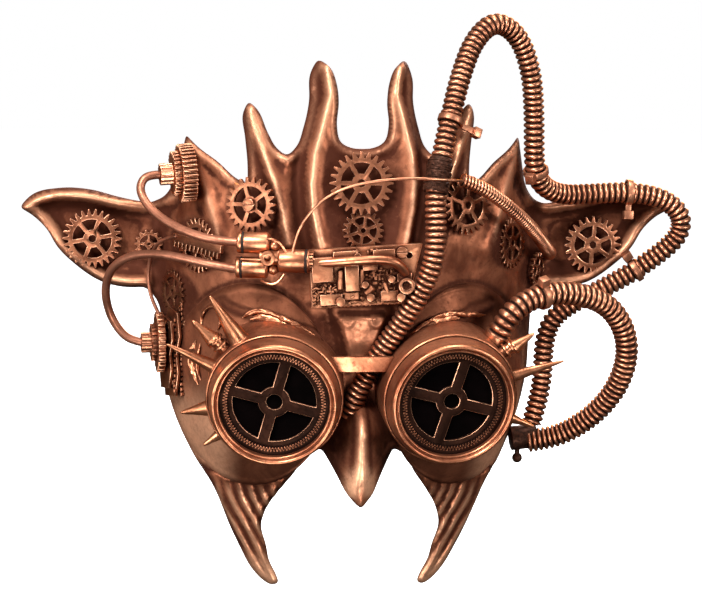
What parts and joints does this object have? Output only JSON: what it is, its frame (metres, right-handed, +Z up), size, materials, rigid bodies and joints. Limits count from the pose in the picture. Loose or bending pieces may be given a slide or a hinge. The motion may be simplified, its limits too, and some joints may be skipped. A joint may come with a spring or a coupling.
{
  "type": "steampunk half mask",
  "caption": "Moulded half mask with a horned crown, ear wings, beak and cheek fangs, screw-rim goggles, spikes, gears, corrugated hoses and pipe work in antique copper.",
  "frame": {"origin": "where the wearer's nose bridge sits, at eye level in the middle of the face", "axes": "+Z up, the mask faces -Y, +X to the right as seen from the front; left and right in node names are as seen from the front"},
  "size_m": [0.2883, 0.093, 0.2465],
  "materials": {
    "moulded_copper": "satin antique copper paint with dark patina in the hollows",
    "goggle_copper": "metallised copper, worn bright on the edges",
    "spike_copper": "metallised copper",
    "gear_copper": "metallised copper with dark recesses",
    "dark_bronze": "dark bronze",
    "black_lens": "gloss black",
    "hose_copper": "copper painted corrugated hose, dark grooves",
    "copper_wire": "bare copper wire",
    "rubber_tube": "copper coated rubber",
    "fitting_copper": "bright metallised copper",
    "board_copper": "copper painted casting",
    "cable_tie": "copper painted nylon",
    "dark_wrap": "dark frayed wrap",
    "black_rubber": "black rubber"
  },
  "bodies": {
    "root": {"board_chips": "board_copper", "board_cylinders": "board_copper", "board_screw": "board_copper", "board_socket": "board_copper", "brow_gear_screw": "gear_copper", "centre_large_gear": "gear_copper", "centre_small_gear": "gear_copper", "circuit_board": "board_copper", "cross_block": "fitting_copper", "crown_wire": "copper_wire", "face_shell": "moulded_copper", "goggle_bridge": "goggle_copper", "hose_end_block": "dark_wrap", "hose_ties": "cable_tie", "hose_wrap": "dark_wrap", "knob_cable": "rubber_tube", "left_cheek_gear": "gear_copper", "left_ear_gear": "gear_copper", "left_ear_small_gear": "gear_copper", "left_eye_plate": "moulded_copper", "left_goggle_cup": "goggle_copper", "left_goggle_spikes": "spike_copper", "left_rack": "gear_copper", "left_side_gear": "gear_copper", "left_temple_gear": "gear_copper", "lower_inlet_coupling": "fitting_copper", "lower_knob_large_gear": "gear_copper", "lower_knob_pinion": "gear_copper", "lower_tube": "rubber_tube", "main_hose": "hose_copper", "movement_plates": "gear_copper", "outlet_coupling": "fitting_copper", "outlet_pipe": "fitting_copper", "pipe_o_rings": "black_rubber", "right_brow_gear": "gear_copper", "right_ear_gear": "gear_copper", "right_eye_plate": "moulded_copper", "right_goggle_cup": "goggle_copper", "right_goggle_spikes": "spike_copper", "right_lower_gear": "gear_copper", "right_temple_gear": "gear_copper", "side_hose": "hose_copper", "side_hose_gland": "fitting_copper", "spring_conduit": "copper_wire", "strap_anchors": "moulded_copper", "upper_inlet_coupling": "fitting_copper", "upper_knob_large_gear": "gear_copper", "upper_knob_pinion": "gear_copper", "upper_tube": "rubber_tube"},
    "left_lens_stack": {"left_knurled_ring": "dark_bronze", "left_spoked_wheel": "dark_bronze", "left_lens": "black_lens"},
    "left_bezel": {"left_goggle_bezel": "goggle_copper", "left_bezel_sleeve": "goggle_copper"},
    "right_lens_stack": {"right_knurled_ring": "dark_bronze", "right_spoked_wheel": "dark_bronze", "right_lens": "black_lens"},
    "right_bezel": {"right_goggle_bezel": "goggle_copper", "right_bezel_sleeve": "goggle_copper"},
    "brow_gear": {"left_brow_gear": "gear_copper"}
  },
  "joints": [
    {"name": "left_bezel_turn", "type": "hinge", "parent": "left_lens_stack", "child": "left_bezel", "pos_m": [-0.0371, -0.062, 0.0015], "axis": [-0.1026, -0.9762, -0.1908], "range_deg": [0, 720]},
    {"name": "left_bezel_travel", "type": "slide", "parent": "root", "child": "left_lens_stack", "axis": [-0.1026, -0.9762, -0.1908], "range_m": [0, 0.003]},
    {"name": "right_bezel_turn", "type": "hinge", "parent": "right_lens_stack", "child": "right_bezel", "pos_m": [0.0371, -0.062, 0.0015], "axis": [0.1026, -0.9762, -0.1908], "range_deg": [0, 720]},
    {"name": "right_bezel_travel", "type": "slide", "parent": "root", "child": "right_lens_stack", "axis": [0.1026, -0.9762, -0.1908], "range_m": [0, 0.003]},
    {"name": "brow_gear_spin", "type": "hinge", "parent": "root", "child": "brow_gear", "pos_m": [-0.04515, -0.03716, 0.08125], "axis": [-0.535, -0.8421, 0.0679], "continuous": true}
  ],
  "couplings": [
    {"joint": "left_bezel_travel", "follows": "left_bezel_turn", "m_per_rad": 0.0002387},
    {"joint": "right_bezel_travel", "follows": "right_bezel_turn", "m_per_rad": 0.0002387}
  ]
}
